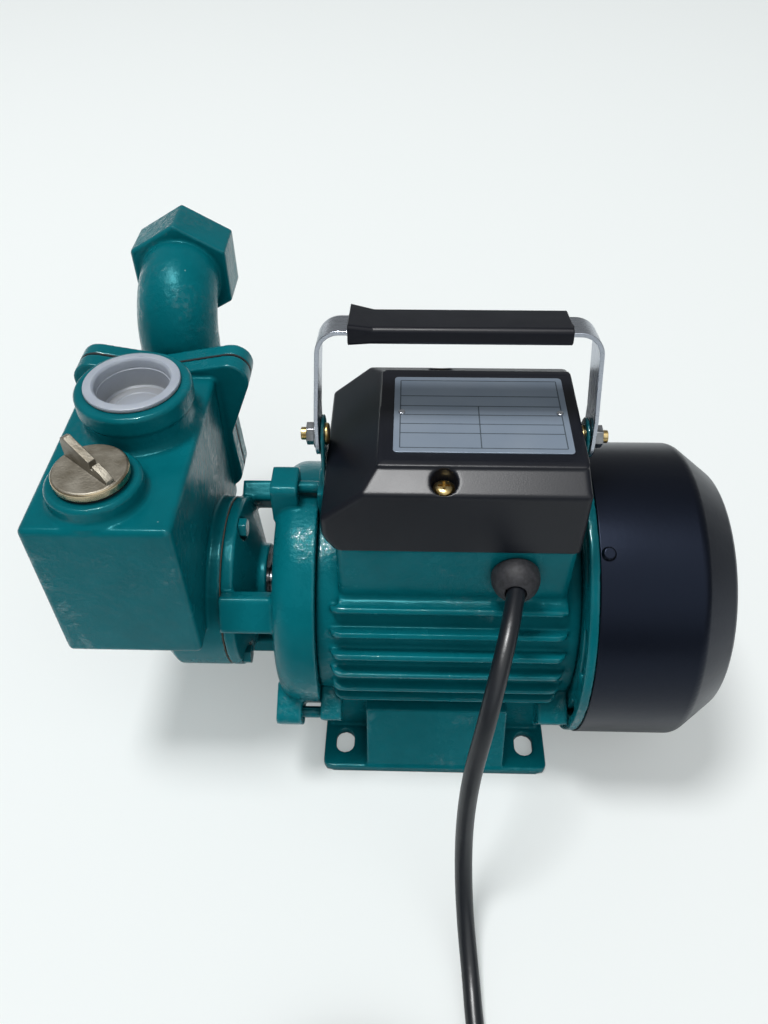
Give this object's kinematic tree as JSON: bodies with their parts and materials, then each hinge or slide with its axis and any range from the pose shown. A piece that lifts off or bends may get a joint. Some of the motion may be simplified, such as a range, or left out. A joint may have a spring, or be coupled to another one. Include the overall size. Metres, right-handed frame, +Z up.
{
  "type": "surface water pump",
  "caption": "Self-priming surface water pump: cast tank with inlet elbow, capped outlet and priming plug, ribbed motor on a slotted foot, fan cover, terminal cover and swinging handle.",
  "frame": {"origin": "on the underside of the foot, below the middle of the motor", "axes": "+X along the shaft from the pump end to the fan end, +Y to the side where the inlet port opens, +Z up"},
  "size_m": [0.2771, 0.4077, 0.2079],
  "materials": {
    "green_paint": "semi-gloss enamel over casting",
    "black_paint": "satin enamel over pressed steel",
    "black_plastic": "satin moulded",
    "clear_plastic": "translucent moulded",
    "bright_steel": "bright plated",
    "yellow_zinc": "yellow passivated",
    "machined_steel": "ground and turned",
    "laminated_steel": "stacked sheet",
    "plate_aluminium": "satin sheet",
    "cast_aluminium": "as cast",
    "plug_metal": "dull plated casting",
    "impeller_brass": "machined",
    "copper_wire": "varnished",
    "black_rubber": "matt",
    "gasket_fibre": "pressed fibre",
    "cord_sheath": "semi-matt",
    "seal_ceramic": "lapped",
    "block_plastic": "moulded",
    "fan_plastic": "moulded"
  },
  "bodies": {
    "pump": {"pump_body": "green_paint", "inlet_elbow": "green_paint", "inlet_gasket": "black_rubber", "inlet_bolts": "bright_steel", "flap_pin": "machined_steel", "lantern_bracket": "green_paint", "casing_gasket": "gasket_fibre", "casing_screws": "bright_steel", "seal_seat": "seal_ceramic", "stator_core": "laminated_steel", "stator_windings": "copper_wire", "wave_spring": "machined_steel", "motor_housing": "green_paint", "rear_end_shield": "green_paint", "shield_screws": "bright_steel", "fan_cover": "black_paint", "fan_cover_screws": "bright_steel", "terminal_cover": "black_plastic", "cover_screws": "yellow_zinc", "nameplate": "plate_aluminium", "nameplate_rivets": "plate_aluminium", "capacitor": "block_plastic", "terminal_block": "block_plastic", "handle_bolts": "yellow_zinc", "handle_nuts": "bright_steel", "handle_washers": "bright_steel", "cable_grommet": "black_rubber", "power_cord": "cord_sheath", "cord_coil": "cord_sheath", "cord_tail": "cord_sheath", "mains_plug": "black_rubber", "plug_pins": "bright_steel", "front_bearing_outer": "machined_steel", "rear_bearing_outer": "machined_steel"},
    "rotor": {"shaft": "machined_steel", "rotor_core": "laminated_steel", "rotor_end_rings": "cast_aluminium", "impeller": "impeller_brass", "impeller_key": "machined_steel", "fan": "fan_plastic", "fan_clip": "machined_steel", "water_slinger": "black_rubber", "seal_head": "black_rubber", "front_bearing_inner": "machined_steel", "rear_bearing_inner": "machined_steel"},
    "bearing_balls": {"front_bearing_balls": "machined_steel", "rear_bearing_balls": "machined_steel"},
    "handle": {"handle_strap": "bright_steel", "handle_grip": "black_plastic"},
    "plug_seal": {"plug_gasket": "black_rubber"},
    "plug": {"priming_plug": "plug_metal"},
    "cap": {"outlet_cap": "clear_plastic"},
    "valve": {"check_valve_flap": "black_rubber", "valve_weight": "machined_steel"}
  },
  "joints": [
    {"name": "rotor_spin", "type": "hinge", "parent": "pump", "child": "rotor", "pos_m": [0, 0, 0.071], "axis": [1, 0, 0], "continuous": true},
    {"name": "ball_orbit", "type": "hinge", "parent": "pump", "child": "bearing_balls", "pos_m": [0, 0, 0.071], "axis": [1, 0, 0], "continuous": true},
    {"name": "handle_swing", "type": "hinge", "parent": "pump", "child": "handle", "pos_m": [0, 0, 0.1585], "axis": [1, 0, 0], "range_deg": [-84, 106]},
    {"name": "plug_lift", "type": "slide", "parent": "pump", "child": "plug_seal", "axis": [0, 0, 1], "range_m": [0, 0.0073]},
    {"name": "plug_turn", "type": "hinge", "parent": "plug_seal", "child": "plug", "pos_m": [-0.1293, -0.029, 0.1603], "axis": [0, 0, 1], "range_deg": [0, 1440]},
    {"name": "cap_lift", "type": "slide", "parent": "pump", "child": "cap", "axis": [0, 0, 1], "range_m": [0, 0.016]},
    {"name": "valve_swing", "type": "hinge", "parent": "pump", "child": "valve", "pos_m": [-0.122, 0.0417, 0.143], "axis": [-1, 0, 0], "range_deg": [0, 22]}
  ],
  "couplings": [
    {"joint": "ball_orbit", "follows": "rotor_spin", "ratio": 0.365},
    {"joint": "plug_lift", "follows": "plug_turn", "m_per_rad": 0.00028871}
  ]
}
